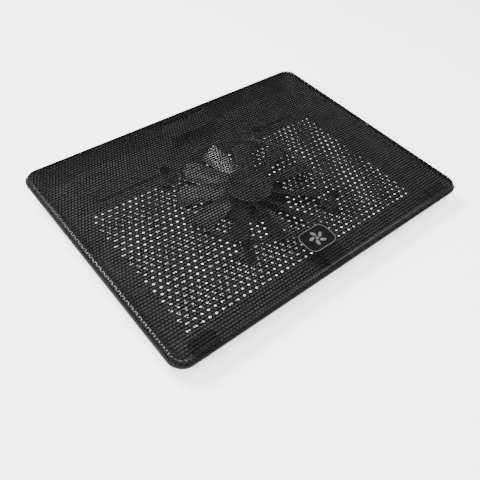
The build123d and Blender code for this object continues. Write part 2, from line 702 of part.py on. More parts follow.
with BuildPart() as lead_plug:
    with BuildSketch(Plane.XZ.offset(-PLUG_FRONT)):
        with Locations((0, LEAD_PLUG_Z)):
            Rectangle(5.0, 2.6)
    extrude(amount=-5.9)
finish(lead_plug.part, "lead_plug")

with BuildPart() as lead_socket:
    with BuildSketch(Plane.XY.offset(BOARD_TOP)):
        with Locations((0, PLUG_FRONT + 4.5)):
            Rectangle(7.0, 5.0)
    extrude(amount=4.0)
    with BuildSketch(Plane.XZ.offset(-PLUG_FRONT - 2)):
        with Locations((0, LEAD_PLUG_Z)):
            Rectangle(5.2, 2.8)
    extrude(amount=-4.0, mode=Mode.SUBTRACT)
finish(lead_socket.part, "lead_socket")

# ---------------------------------------------------------------- hub board and sockets

with BuildPart() as hub_board:
    with BuildSketch(Plane.XY.offset(BOARD_UNDERSIDE)):
        with Locations((HOUSING_X, BOARD_REAR - BOARD_DEPTH / 2)):
            RectangleRounded(BOARD_WIDTH, BOARD_DEPTH, 1)
        with Locations(BOARD_SCREW_PLACES):
            Circle(1.25, mode=Mode.SUBTRACT)
    extrude(amount=BOARD_THICKNESS)
finish(hub_board.part, "hub_board")

with BuildPart() as board_screws:
    with BuildSketch(Plane.XY.offset(BOARD_TOP)):
        with Locations(BOARD_SCREW_PLACES):
            Circle(BOARD_SCREW_HEAD[0])
    extrude(amount=BOARD_SCREW_HEAD[1])
    fillet(board_screws.edges().group_by(Axis.Z)[-1], 0.5)
    with BuildSketch(Plane.XY.offset(BOARD_TOP + BOARD_SCREW_HEAD[1])):
        with Locations(BOARD_SCREW_PLACES):
            Rectangle(2.2, 0.5)
            Rectangle(0.5, 2.2)
    extrude(amount=-0.7, mode=Mode.SUBTRACT)
    with BuildSketch(Plane.XY.offset(FLOOR_TOP)):
        with Locations(BOARD_SCREW_PLACES):
            Circle(SCREW_PILOT - 0.03)
    extrude(amount=BOARD_TOP - FLOOR_TOP)
finish(board_screws.part, "board_screws")

with BuildPart() as board_parts:
    # smoothing capacitor, controller chip, coil and two small resistors
    with BuildSketch(Plane.XY.offset(BOARD_TOP)):
        with Locations(CAPACITOR):
            Circle(CAPACITOR_SIZE[0])
    extrude(amount=CAPACITOR_SIZE[1])
    with BuildSketch(Plane.XY.offset(BOARD_TOP)):
        with Locations(CHIP):
            Rectangle(*CHIP_SIZE[:2])
    extrude(amount=CHIP_SIZE[2])
    with BuildSketch(Plane.XY.offset(BOARD_TOP)):
        with Locations(COIL):
            RectangleRounded(*COIL_SIZE[:2], 1.2)
    extrude(amount=COIL_SIZE[2])
    with BuildSketch(Plane.XY.offset(BOARD_TOP)):
        with Locations(RESISTORS):
            Rectangle(*RESISTOR_SIZE[:2])
    extrude(amount=RESISTOR_SIZE[2])
finish(board_parts.part, "board_parts")

with BuildPart() as hub_cover:
    cover_width = HOUSING_WIDTH - 2 * PORT_WALL - 2 * COVER_GAP
    cover_depth = HOUSING_REAR - HOUSING_FRONT - 2 * COVER_GAP
    cover_middle = (HOUSING_FRONT + HOUSING_REAR) / 2 - PORT_WALL
    cover_front = cover_middle - cover_depth / 2
    cover_rear = cover_middle + cover_depth / 2
    with BuildSketch(Plane.XY.offset(FLOOR_TOP)):
        with Locations((HOUSING_X, cover_middle)):
            Rectangle(cover_width, cover_depth)
    extrude(amount=COVER_TOP - FLOOR_TOP)
    fillet(hub_cover.edges().group_by(Axis.Z)[-1], COVER_ROUND)
    # hollow under the top, open at the rear
    with BuildSketch(Plane.XY.offset(FLOOR_TOP)):
        with Locations((HOUSING_X, cover_middle + COVER_WALL)):
            Rectangle(cover_width - 2 * COVER_WALL, cover_depth)
    extrude(amount=COVER_TOP - COVER_WALL - FLOOR_TOP, mode=Mode.SUBTRACT)
    # way in for the lead, and a window over the USB socket's shell
    with BuildSketch(Plane.XY.offset(FLOOR_TOP)):
        with Locations((0, cover_front)):
            Rectangle(COVER_NOTCH[0], 4 * COVER_WALL)
    extrude(amount=COVER_NOTCH[1], mode=Mode.SUBTRACT)
    with BuildSketch(Plane.XY.offset(COVER_TOP - COVER_WALL)):
        with Locations((USB_X, cover_rear - COVER_WINDOW[1] / 2)):
            Rectangle(*COVER_WINDOW)
    extrude(amount=COVER_WALL, mode=Mode.SUBTRACT)
finish(hub_cover.part, "hub_cover")


def mouth(x, z):
    """The upright plane of a socket's mouth, seen from inside, centred on the socket."""
    return Plane(origin=(x, SOCKET_MOUTH_Y, z), x_dir=(1, 0, 0), z_dir=(0, -1, 0))


with BuildPart() as usb_socket_shell:
    with BuildSketch(mouth(USB_X, USB_Z)):
        RectangleRounded(*USB_SHELL[:2], 0.5)
    extrude(amount=USB_SHELL[2])
    with BuildSketch(mouth(USB_X, USB_Z)):
        RectangleRounded(*USB_INSIDE[:2], 0.3)
    extrude(amount=USB_INSIDE[2], mode=Mode.SUBTRACT)
    with BuildSketch(Plane.XY.offset(BOARD_TOP)):
        with Locations((USB_X - 5.0, 130.0), (USB_X + 5.0, 130.0)):
            Rectangle(1.2, 3.0)
    extrude(amount=0.6)
finish(usb_socket_shell.part, "usb_socket_shell")

with BuildPart() as usb_socket_tongue:
    with BuildSketch(mouth(USB_X, USB_Z).offset(12.4)):
        Rectangle(12.2, 4.9)
    extrude(amount=1.1)
    with BuildSketch(mouth(USB_X, USB_Z + 1.0).offset(2.0)):
        Rectangle(*USB_TONGUE[:2])
    extrude(amount=USB_TONGUE[2])
finish(usb_socket_tongue.part, "usb_socket_tongue")

with BuildPart() as power_inlet_shell:
    with BuildSketch(mouth(INLET_X, INLET_Z)):
        RectangleRounded(*INLET_SHELL[:2], 0.6)
    extrude(amount=INLET_SHELL[2])
    with BuildSketch(mouth(INLET_X, INLET_Z)):
        RectangleRounded(*INLET_INSIDE[:2], 0.4)
    extrude(amount=INLET_INSIDE[2], mode=Mode.SUBTRACT)
finish(power_inlet_shell.part, "power_inlet_shell")

with BuildPart() as power_inlet_tongue:
    with BuildSketch(mouth(INLET_X, INLET_Z).offset(7.6)):
        Rectangle(6.9, 3.2)
    extrude(amount=1.1)
    with BuildSketch(mouth(INLET_X, INLET_Z + 0.2).offset(1.2)):
        Rectangle(*INLET_TONGUE[:2])
    extrude(amount=INLET_TONGUE[2])
finish(power_inlet_tongue.part, "power_inlet_tongue")

with BuildPart() as switch_body:
    with BuildSketch(Plane.XY.offset(BOARD_TOP)):
        with Locations((SWITCH_MIDDLE, SWITCH_BODY_Y)):
            Rectangle(*SWITCH_BODY[:2])
    extrude(amount=SWITCH_BODY[2])
    with BuildSketch(Plane.XZ.offset(-137.2)):
        with Locations((SWITCH_MIDDLE, SWITCH_Z)):
            Rectangle(STEM_WIDTH + SWITCH_TRAVEL + 0.6, 1.8)
    extrude(amount=2.4, mode=Mode.SUBTRACT)
finish(switch_body.part, "switch_body")

with BuildPart() as switch_knob:
    with BuildSketch(Plane.XZ.offset(-135.0)):
        with Locations((SWITCH_X, SWITCH_Z)):
            Rectangle(STEM_WIDTH, 1.3)
    extrude(amount=-4.7)
    with BuildSketch(Plane.XZ.offset(-139.7)):
        with Locations((SWITCH_X, SWITCH_Z)):
            RectangleRounded(*KNOB_CAP[:2], 0.5)
    extrude(amount=-KNOB_CAP[2])
finish(switch_knob.part, "switch_knob")

# ---------------------------------------------------------------- legs and feet

for side, leg_name in ((-1, "left_leg"), (1, "right_leg")):
    plate_low = LEG_PIVOT_Z + LEG_BARREL - LEG_THICKNESS
    leg_middle = (LEG_END_Y + LEG_PIVOT_Y) / 2
    with BuildPart() as leg:
        with BuildSketch(Plane((side * LEG_X, leg_middle, plate_low))):
            RectangleRounded(LEG_WIDTH, LEG_PIVOT_Y - LEG_END_Y, 2.5)
        extrude(amount=LEG_THICKNESS)
        # three hollows that leave ribs on the outer face
        with BuildSketch(Plane((side * LEG_X, leg_middle, plate_low))):
            with GridLocations(LEG_RIB_PITCH, 0, 3, 1):
                RectangleRounded(LEG_HOLLOW[0], LEG_HOLLOW[1], 2)
        extrude(amount=LEG_HOLLOW[2], mode=Mode.SUBTRACT)
        with BuildSketch(Plane.YZ.offset(side * LEG_X - LEG_WIDTH / 2)):
            with Locations((LEG_PIVOT_Y, LEG_PIVOT_Z)):
                Circle(LEG_BARREL)
        extrude(amount=LEG_WIDTH)
        with BuildSketch(Plane.YZ.offset(side * LEG_X - LEG_WIDTH / 2)):
            with Locations((LEG_PIVOT_Y, LEG_PIVOT_Z)):
                Circle(PIN_RADIUS + 0.05)
        extrude(amount=LEG_WIDTH, mode=Mode.SUBTRACT)
    finish(leg.part, leg_name)

    with BuildPart() as leg_grip:
        with BuildSketch(Plane.XZ.offset(-LEG_END_Y)):
            with Locations((side * LEG_X, plate_low + LEG_THICKNESS / 2)):
                RectangleRounded(LEG_GRIP_WIDTH, LEG_THICKNESS - 0.4, 0.8)
        extrude(amount=LEG_GRIP_THICKNESS)
    finish(leg_grip.part, leg_name + "_grip")

with BuildPart() as leg_pins:
    for side in (-1, 1):
        with BuildSketch(Plane.YZ.offset(side * LEG_X - POCKET_SIDE - PIN_GRIP)):
            with Locations((LEG_PIVOT_Y, LEG_PIVOT_Z)):
                Circle(PIN_RADIUS)
        extrude(amount=2 * (POCKET_SIDE + PIN_GRIP))
finish(leg_pins.part, "leg_pins")

with BuildPart() as base_feet:
    with BuildSketch():
        with Locations(FOOT_PLACES):
            SlotOverall(FOOT_LENGTH, FOOT_WIDTH)
    extrude(amount=FOOT_HEIGHT)
    fillet(base_feet.edges().group_by(Axis.Z)[0], 1.0)
finish(base_feet.part, "base_feet")
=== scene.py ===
import json
from math import cos, pi, radians, sin

import bpy
import numpy as np
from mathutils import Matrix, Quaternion, Vector


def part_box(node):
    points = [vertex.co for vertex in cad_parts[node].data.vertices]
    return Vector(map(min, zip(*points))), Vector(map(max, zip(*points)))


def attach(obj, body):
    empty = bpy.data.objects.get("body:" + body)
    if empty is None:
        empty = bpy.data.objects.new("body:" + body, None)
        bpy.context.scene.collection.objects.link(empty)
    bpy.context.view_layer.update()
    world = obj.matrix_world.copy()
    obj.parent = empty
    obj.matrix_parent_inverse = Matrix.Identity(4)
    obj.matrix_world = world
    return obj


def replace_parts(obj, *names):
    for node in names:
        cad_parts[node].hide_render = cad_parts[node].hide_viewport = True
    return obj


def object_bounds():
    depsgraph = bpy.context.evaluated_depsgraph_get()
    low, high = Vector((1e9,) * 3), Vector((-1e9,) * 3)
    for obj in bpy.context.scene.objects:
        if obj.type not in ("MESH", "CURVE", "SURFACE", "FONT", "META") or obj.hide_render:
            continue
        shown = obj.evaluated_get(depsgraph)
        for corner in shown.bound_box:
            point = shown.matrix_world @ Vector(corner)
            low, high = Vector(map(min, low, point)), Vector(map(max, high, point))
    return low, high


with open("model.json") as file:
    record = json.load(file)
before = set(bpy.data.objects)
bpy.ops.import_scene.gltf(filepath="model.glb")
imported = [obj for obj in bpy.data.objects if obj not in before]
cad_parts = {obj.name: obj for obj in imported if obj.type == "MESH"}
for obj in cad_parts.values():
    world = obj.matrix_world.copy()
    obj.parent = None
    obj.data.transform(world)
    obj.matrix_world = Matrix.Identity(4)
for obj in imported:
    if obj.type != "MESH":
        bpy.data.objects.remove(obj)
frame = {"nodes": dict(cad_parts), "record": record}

cad_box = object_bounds()

# Sizes are in metres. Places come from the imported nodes' boxes wherever a node has them.

# ---------------------------------------------------------------- camera

CAMERA_PLACE = Vector((-0.3163, -0.3041, 0.4155))
CAMERA_TARGET = Vector((-0.0803, -0.0519, 0.0272))
CAMERA_ROLL = radians(5.95)
CAMERA_LENS = 40.29
CAMERA_SENSOR = 36.0
CAMERA_SHIFT = 0.0417
CAMERA_NEAR = 0.01


def place_camera():
    """The camera stands at the front left, above the pad."""
    data = bpy.data.cameras.new("camera")
    data.lens = CAMERA_LENS
    data.sensor_width = CAMERA_SENSOR
    data.shift_x = CAMERA_SHIFT
    data.clip_start = CAMERA_NEAR
    camera = bpy.data.objects.new("camera", data)
    bpy.context.scene.collection.objects.link(camera)
    look = (CAMERA_TARGET - CAMERA_PLACE).to_track_quat("-Z", "Y")
    camera.rotation_mode = "QUATERNION"
    camera.rotation_quaternion = look @ Quaternion((0, 0, 1), CAMERA_ROLL)
    camera.location = CAMERA_PLACE
    bpy.context.scene.camera = camera


place_camera()

# ---------------------------------------------------------------- material helpers

# a wave texture at scale 1 repeats every 0.314 m
WAVE_LENGTH = 0.314
# a noise texture's values mostly lie between these
NOISE_LOW = 0.3
NOISE_HIGH = 0.7

# the pad's outline, for telling the tray's outside from its inside
PAD_HALF = tuple(cad_box[1])[:2]
PAD_CORNER = 0.016
# the line up the middle of the tray's sloping wall, and the middle of its floor
WALL_SLOPE = 0.8
WALL_START = -0.00412
RIM_LEVEL = 0.0185
LEDGE_LEVEL = 0.0203
LIP_STEP = 0.0033
FLOOR_MIDDLE = 0.0049
# how far in metres a change from one face's shade to the next takes
SHADE_STEP = 0.0004
FLOOR_STEP = 0.0005
# the upward part of a normal, from a ceiling's to a wall's, and from a wall's to a slope's
CEILING_FACING = (-0.6, -0.4)
UPRIGHT_FACING = (0.2, 0.55)


class Surface:
    """A node material on the Principled shader, with small steps that add its detail."""

    def __init__(self, name, colour, roughness, metallic=0.0):
        self.material = bpy.data.materials.new(name)
        self.material.use_nodes = True
        tree = self.material.node_tree
        self.nodes, self.links = tree.nodes, tree.links
        self.shader = self.nodes["Principled BSDF"]
        coordinates = self.nodes.new("ShaderNodeTexCoord")
        self.place = coordinates.outputs["Object"]
        self.facing = coordinates.outputs["Normal"]
        self.normal = None
        self.set("Base Color", (*colour, 1.0))
        self.set("Roughness", roughness)
        self.set("Metallic", metallic)

    def set(self, socket, value):
        self.shader.inputs[socket].default_value = value

    def stretched(self, factors):
        """Object coordinates scaled differently along each axis."""
        mapping = self.nodes.new("ShaderNodeMapping")
        mapping.inputs["Scale"].default_value = factors
        self.links.new(self.place, mapping.inputs["Vector"])
        return mapping.outputs["Vector"]

    def noise(self, size, detail=3.0, stretch=None):
        """Noise whose main lumps are about size metres across."""
        node = self.nodes.new("ShaderNodeTexNoise")
        node.inputs["Scale"].default_value = 1 / size
        node.inputs["Detail"].default_value = detail
        node.inputs["Roughness"].default_value = 0.55
        place = self.stretched(stretch) if stretch else self.place
        self.links.new(place, node.inputs["Vector"])
        return node.outputs["Fac"]

    def cells(self, size, randomness):
        """Distance to the edges of Voronoi cells about size metres across."""
        node = self.nodes.new("ShaderNodeTexVoronoi")
        node.feature = "DISTANCE_TO_EDGE"
        node.inputs["Scale"].default_value = 1 / size
        node.inputs["Randomness"].default_value = randomness
        self.links.new(self.place, node.inputs["Vector"])
        return node.outputs["Distance"]

    def waves(self, size, axis, distortion=0.0):
        """Regular bands, size metres apart."""
        node = self.nodes.new("ShaderNodeTexWave")
        node.wave_type = "BANDS"
        node.bands_direction = axis
        node.inputs["Scale"].default_value = WAVE_LENGTH / size
        node.inputs["Distortion"].default_value = distortion
        self.links.new(self.place, node.inputs["Vector"])
        return node.outputs["Fac"]

    def spread(self, fac, low, high, start=NOISE_LOW, stop=NOISE_HIGH):
        """Maps a pattern from the range start..stop onto low..high."""
        node = self.nodes.new("ShaderNodeMapRange")
        node.inputs["From Min"].default_value = start
        node.inputs["From Max"].default_value = stop
        node.inputs["To Min"].default_value = low
        node.inputs["To Max"].default_value = high
        self.links.new(fac, node.inputs["Value"])
        return node.outputs["Result"]

    def sum_up(self, operation, first, second, third=0.0):
        """One step of arithmetic on patterns or numbers."""
        node = self.nodes.new("ShaderNodeMath")
        node.operation = operation
        for socket, value in zip(node.inputs, (first, second, third)):
            if isinstance(value, float):
                socket.default_value = value
            else:
                self.links.new(value, socket)
        return node.outputs["Value"]

    def along_z(self, vector):
        """The Z component of a vector pattern."""
        divide = self.nodes.new("ShaderNodeSeparateXYZ")
        self.links.new(vector, divide.inputs["Vector"])
        return divide.outputs["Z"]

    def edge_depth(self, half, corner):
        """0 in the middle of a rounded rectangle, the corner's radius at its edge."""
        step = self.place
        for operation, values in (
            ("ABSOLUTE", (0, 0, 0)),
            ("SUBTRACT", (half[0] - corner, half[1] - corner, 1.0)),
            ("MAXIMUM", (0, 0, 0)),
            ("LENGTH", (0, 0, 0)),
        ):
            node = self.nodes.new("ShaderNodeVectorMath")
            node.operation = operation
            self.links.new(step, node.inputs[0])
            node.inputs[1].default_value = values
            step = node.outputs["Value" if operation == "LENGTH" else "Vector"]
        return step

    def outer_faces(self):
        """1 on the tray's underside, outer walls, rim and ceilings, 0 elsewhere inside."""
        height = self.along_z(self.place)
        middle_of_wall = self.sum_up(
            "MULTIPLY_ADD", self.sum_up("MINIMUM", height, RIM_LEVEL), WALL_SLOPE, WALL_START
        )
        lip_step = self.spread(
            height, 0.0, LIP_STEP, LEDGE_LEVEL, LEDGE_LEVEL + SHADE_STEP
        )
        past_wall = self.sum_up(
            "SUBTRACT",
            self.sum_up("SUBTRACT", self.edge_depth(PAD_HALF, PAD_CORNER), middle_of_wall),
            lip_step,
        )
        below_floor = self.spread(
            height, 1.0, 0.0, FLOOR_MIDDLE, FLOOR_MIDDLE + FLOOR_STEP
        )
        face_down = self.spread(self.along_z(self.facing), 1.0, 0.0, *CEILING_FACING)
        outside = self.spread(past_wall, 0.0, 1.0, 0.0, SHADE_STEP)
        return self.sum_up(
            "MAXIMUM", self.sum_up("MAXIMUM", outside, below_floor), face_down
        )

    def upright_faces(self):
        """1 where the surface stands upright, 0 where it lies flat."""
        steepness = self.sum_up("ABSOLUTE", self.along_z(self.facing), 0.0)
        return self.spread(steepness, 1.0, 0.0, *UPRIGHT_FACING)

    def scale_colour(self, fac, share):
        """Scales the colour so far by a share where the pattern is 1."""
        colour = self.shader.inputs["Base Color"]
        mix = self.nodes.new("ShaderNodeMix")
        mix.data_type, mix.blend_type = "RGBA", "MULTIPLY"
        self.links.new(fac, mix.inputs["Factor"])
        self.links.new(colour.links[0].from_socket, mix.inputs["A"])
        mix.inputs["B"].default_value = (share, share, share, 1.0)
        self.links.new(mix.outputs["Result"], colour)

    def tint(self, fac, dark, light, start=NOISE_LOW, stop=NOISE_HIGH):
        """Colours the surface between two colours by a pattern."""
        ramp = self.nodes.new("ShaderNodeValToRGB")
        ramp.color_ramp.elements[0].position = start
        ramp.color_ramp.elements[0].color = (*dark, 1.0)
        ramp.color_ramp.elements[1].position = stop
        ramp.color_ramp.elements[1].color = (*light, 1.0)
        self.links.new(fac, ramp.inputs["Fac"])
        self.links.new(ramp.outputs["Color"], self.shader.inputs["Base Color"])

    def polish(self, fac, low, high):
        """Varies the roughness by a pattern."""
        self.links.new(self.spread(fac, low, high), self.shader.inputs["Roughness"])

    def relief(self, fac, depth):
        """Adds a bump of this depth in metres on top of the ones before."""
        bump = self.nodes.new("ShaderNodeBump")
        bump.inputs["Strength"].default_value = 1.0
        bump.inputs["Distance"].default_value = depth
        self.links.new(fac, bump.inputs["Height"])
        if self.normal:
            self.links.new(self.normal, bump.inputs["Normal"])
        self.normal = bump.outputs["Normal"]
        self.links.new(self.normal, self.shader.inputs["Normal"])


def grey(value, warmth=0.0):
    """A near-neutral colour, a little warmer or cooler."""
    return (value * (1 + warmth), value, value * (1 - warmth))


# ---------------------------------------------------------------- materials, by slot

# how much paler the shaded steep inside faces are painted, as painted light, and how dark
# the tray's outside is
STEEP_PAINTED_LIGHT = 2.4
OUTSIDE_SHARE = 0.12
# brushing and plating streaks: how much finer the pattern is across each axis
BRUSHED = (1, 18, 1)
PLATED = (1, 10, 10)
# the specular level of the sheet's flat top, and of its duller folded edge
SHEET_GLOSS = 0.3
EDGE_GLOSS = 0.04


def tray_plastic():
    """Black moulded plastic with a fine spark-eroded grain, its inside painted pale and its
    steep inside faces paler still, as painted light.
    """
    s = Surface("tray_plastic", grey(0.05), 0.5)
    s.tint(s.noise(0.02), grey(0.044), grey(0.056))
    # painted light: steep faces in shade painted paler; then outside, underside and ceilings
    # made near black
    s.scale_colour(s.upright_faces(), STEEP_PAINTED_LIGHT)
    s.scale_colour(s.outer_faces(), OUTSIDE_SHARE)
    s.polish(s.noise(0.006, 4), 0.42, 0.56)
    s.set("Specular IOR Level", 0.12)
    s.relief(s.noise(0.00035, 2), 0.00004)
    return s.material


def plain_plastic(name, low, high):
    """The tray's plastic in one even shade, without the painted-pale inside."""
    s = Surface(name, grey((low + high) / 2), 0.5)
    s.tint(s.noise(0.02), grey(low), grey(high))
    s.polish(s.noise(0.006, 4), 0.42, 0.56)
    s.set("Specular IOR Level", 0.12)
    s.relief(s.noise(0.00035, 2), 0.00004)
    return s.material


def coated_sheet(name, specular):
    """Steel sheet under a satin black powder coat, with its faint orange peel."""
    s = Surface(name, grey(0.0015), 0.18)
    s.tint(s.noise(0.03), grey(0.0012), grey(0.0020))
    s.polish(s.noise(0.008, 4), 0.15, 0.24)
    s.set("Specular IOR Level", specular)
    s.relief(s.noise(0.0009, 2), 0.00001)
    return s.material


def mesh_metal():
    """The sheet's flat top and holes."""
    return coated_sheet("mesh_metal", SHEET_GLOSS)


def fan_frame_plastic():
    """Black glass-filled plastic, smoother than the tray, painted grey as painted light."""
    s = Surface("fan_frame_plastic", grey(0.07), 0.38)
    s.tint(s.noise(0.015), grey(0.062), grey(0.08))
    # painted light: steep faces, such as the hoop's outer wall, painted paler where they lie
    # in shade
    s.scale_colour(s.upright_faces(), STEEP_PAINTED_LIGHT)
    s.polish(s.noise(0.005, 4), 0.32, 0.46)
    s.relief(s.noise(0.0005, 2), 0.00002)
    return s.material


def impeller_plastic():
    """Smoke-grey plastic with polished faces, slightly see-through."""
    s = Surface("impeller_plastic", grey(0.05), 0.28)
    s.tint(s.noise(0.02), grey(0.044), grey(0.058))
    s.polish(s.noise(0.01, 3), 0.26, 0.36)
    s.set("Transmission Weight", 0.06)
    s.set("IOR", 1.55)
    s.relief(s.noise(0.004, 2), 0.00003)
    return s.material


def rubber_black():
    """Matt rubber with a dusty bloom."""
    s = Surface("rubber_black", grey(0.006), 0.85)
    s.tint(s.noise(0.004, 5), grey(0.004), grey(0.009))
    s.polish(s.noise(0.003), 0.75, 0.92)
    s.set("Specular IOR Level", 0.08)
    s.relief(s.noise(0.0004, 4), 0.00005)
    return s.material


def badge_black():
    """Glossy black enamel under the badge's outline."""
    s = Surface("badge_black", grey(0.004), 0.22)
    s.tint(s.noise(0.006), grey(0.003), grey(0.006))
    s.polish(s.noise(0.004, 4), 0.18, 0.3)
    s.set("Specular IOR Level", 0.2)
    s.relief(s.noise(0.001), 0.00001)
    return s.material


def badge_silver():
    """Brushed satin silver foil."""
    s = Surface("badge_silver", grey(0.62), 0.32, 1.0)
    s.tint(s.noise(0.0006, 3, stretch=BRUSHED), grey(0.52), grey(0.7))
    s.polish(s.noise(0.0006, 3, stretch=BRUSHED), 0.24, 0.42)
    s.relief(s.noise(0.0004, 2, stretch=BRUSHED), 0.00001)
    return s.material


def screw_steel():
    """Blackened screw steel, rubbed bright in places."""
    s = Surface("screw_steel", grey(0.12), 0.38, 0.9)
    s.tint(s.noise(0.0012, 4), grey(0.07), grey(0.2))
    s.polish(s.noise(0.0008, 3), 0.28, 0.5)
    s.relief(s.noise(0.0003), 0.00001)
    return s.material


def socket_steel():
    """Nickel-plated pressed sheet."""
    s = Surface("socket_steel", grey(0.66, 0.03), 0.24, 1.0)
    s.tint(s.noise(0.003, 4), grey(0.55, 0.04), grey(0.74, 0.02))
    s.polish(s.noise(0.0006, 3, stretch=PLATED), 0.17, 0.34)
    s.relief(s.noise(0.0005, 2, stretch=PLATED), 0.000006)
    return s.material


def socket_plastic():
    """The contact carrier inside a socket."""
    s = Surface("socket_plastic", grey(0.02), 0.5)
    s.tint(s.noise(0.002), grey(0.016), grey(0.028))
    s.polish(s.noise(0.001), 0.42, 0.58)
    s.relief(s.noise(0.0003), 0.00001)
    return s.material


def plug_nylon():
    """Black nylon of the lead's plug and its socket."""
    s = Surface("plug_nylon", grey(0.035), 0.45)
    s.tint(s.noise(0.002), grey(0.028), grey(0.042))
    s.polish(s.noise(0.001), 0.38, 0.52)
    s.relief(s.noise(0.0004), 0.00001)
    return s.material


def board_laminate():
    """Black solder mask over traces that stand up a little."""
    s = Surface("board_laminate", (0.04, 0.046, 0.043), 0.4)
    traces = s.cells(0.0035, 0.6)
    s.tint(traces, (0.05, 0.06, 0.054), (0.036, 0.042, 0.039), 0.06, 0.12)
    s.polish(s.noise(0.002), 0.34, 0.48)
    s.relief(s.spread(traces, 1.0, 0.0, 0.06, 0.12), 0.00003)
    return s.material


def parts_black():
    """Moulded chip packages and capacitor sleeves."""
    s = Surface("parts_black", grey(0.014), 0.45)
    s.tint(s.noise(0.002), grey(0.010), grey(0.02))
    s.polish(s.noise(0.001), 0.38, 0.52)
    s.relief(s.noise(0.00025), 0.00001)
    return s.material


def copper_wire():
    """Enamelled copper, wound in close turns, with painted shade in the grooves between
    them.
    """
    s = Surface("copper_wire", (0.72, 0.26, 0.10), 0.28, 1.0)
    turns = s.waves(0.0003, "DIAGONAL")
    # painted shade: the colour follows the bump's bands, darker in the grooves between
    # turns, lighter on the crests
    s.tint(turns, (0.42, 0.13, 0.05), (0.78, 0.32, 0.14), 0.1, 0.8)
    s.polish(s.noise(0.002), 0.2, 0.36)
    s.relief(turns, 0.00012)
    return s.material


def core_steel():
    """A stack of thin laminations."""
    s = Surface("core_steel", grey(0.32), 0.4, 1.0)
    plates = s.waves(0.0005, "Z")
    s.tint(plates, grey(0.2), grey(0.42), 0.05, 0.3)
    s.polish(s.noise(0.002), 0.32, 0.5)
    s.relief(plates, 0.00005)
    return s.material


def magnet_ferrite():
    """Sintered ferrite, dark and slightly grainy."""
    s = Surface("magnet_ferrite", grey(0.045), 0.62)
    s.tint(s.noise(0.001, 4), grey(0.03), grey(0.065))
    s.polish(s.noise(0.001), 0.5, 0.7)
    s.relief(s.noise(0.0003, 3), 0.00003)
    return s.material


def bearing_bronze():
    """Oiled sintered bronze."""
    s = Surface("bearing_bronze", (0.5, 0.31, 0.13), 0.4, 1.0)
    s.tint(s.noise(0.0006, 4), (0.3, 0.18, 0.07), (0.58, 0.38, 0.18))
    s.polish(s.noise(0.0008), 0.3, 0.5)
    s.relief(s.noise(0.0002), 0.00001)
    return s.material


def lead_sleeve():
    """Soft black sleeve with a slight twist of the wires inside."""
    s = Surface("lead_sleeve", grey(0.03), 0.55)
    s.tint(s.noise(0.003), grey(0.024), grey(0.036))
    s.polish(s.noise(0.002), 0.45, 0.65)
    s.relief(s.waves(0.006, "Y", 1.0), 0.0001)
    return s.material


def clip_steel():
    """Plated spring steel, dulled."""
    s = Surface("clip_steel", grey(0.1), 0.4, 0.7)
    s.tint(s.noise(0.002, 4), grey(0.06), grey(0.15))
    s.polish(s.noise(0.001), 0.32, 0.52)
    s.relief(s.noise(0.0004), 0.00001)
    return s.material


MATERIALS = {
    make.__name__: make()
    for make in (
        tray_plastic, mesh_metal, fan_frame_plastic, impeller_plastic, rubber_black,
        badge_black, badge_silver, screw_steel, socket_steel, socket_plastic,
        plug_nylon, board_laminate, parts_black, copper_wire, core_steel,
        magnet_ferrite, bearing_bronze, lead_sleeve, clip_steel,
    )
}

FOLDED_METAL = coated_sheet("mesh_metal_edge", EDGE_GLOSS)
LEG_PLASTIC = plain_plastic("leg_plastic", 0.0052, 0.0068)
# painted light: the support columns painted pale grey so that their shaded sides don't show
# dark
COLUMN_PAINTED_PALE = plain_plastic("column_painted_pale", 0.19, 0.23)
# nodes of the tray's plastic that are one shade all over, the columns' shade painted pale as
# painted light
EVEN_NODES = {
    "left_leg": LEG_PLASTIC,
    "right_leg": LEG_PLASTIC,
    "support_columns": COLUMN_PAINTED_PALE,
}


def dress_nodes():
    """Gives every CAD node its own shade, the columns' one painted pale as painted light, or
    the material of its slot in the record.
    """
    for part in frame["record"]["subparts"]:
        node = frame["nodes"][part["node"]]
        node.data.materials.clear()
        finish = EVEN_NODES.get(part["node"], MATERIALS[part["material_slot"]])
        node.data.materials.append(finish)


dress_nodes()

# ---------------------------------------------------------------- building meshes


SHARP_ANGLE = radians(50.0)


def new_piece(name, vertices, faces, slot_name, body="pad"):
    """A mesh object in the part's frame, riding on a body, in its slot's material."""
    mesh = bpy.data.meshes.new(name)
    mesh.from_pydata(vertices, [], faces)
    mesh.validate()
    mesh.materials.append(MATERIALS[slot_name])
    mesh.polygons.foreach_set("use_smooth", [True] * len(mesh.polygons))
    mesh.set_sharp_from_angle(angle=SHARP_ANGLE)
    piece = bpy.data.objects.new(name, mesh)
    bpy.context.scene.collection.objects.link(piece)
    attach(piece, body)
    return piece


# ---------------------------------------------------------------- perforated sheet

# the sheet's thickness, its edge's bending radius and its outline's corner radius
SHEET = 0.0006
SHOULDER = 0.003
PANEL_CORNER = 0.0139
# the staggered holes: their spacing, half axes, rounded lip and the middle hole's place
HOLE_PITCH = 0.003547
ROW_PITCH = 0.003357
HOLE_HALF = np.array([0.00150, 0.00122])
HOLE_ROUND = 0.00014
LATTICE_ORIGIN = np.array([-0.0003, -0.0015])
HOLE_SIDES = 12
# cell corners closer than this are one vertex
WELD = 1e-8

panel_low, panel_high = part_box("top_mesh_panel")
SHEET_TOP = panel_high.z
SKIRT = SHEET_TOP - panel_low.z - SHOULDER
BEND = SHOULDER * pi / 2
REACH = BEND + SKIRT
FLAT_X = panel_high.x - SHOULDER
FLAT_Y = panel_high.y - SHOULDER
FLAT_CORNER = PANEL_CORNER - SHOULDER
# cells further past the flat top's outline than this have no hole
HOLE_LIMIT = BEND + 0.0012
# the folded edge is duller from this far below the sheet's top
DULL_DROP = 0.0009
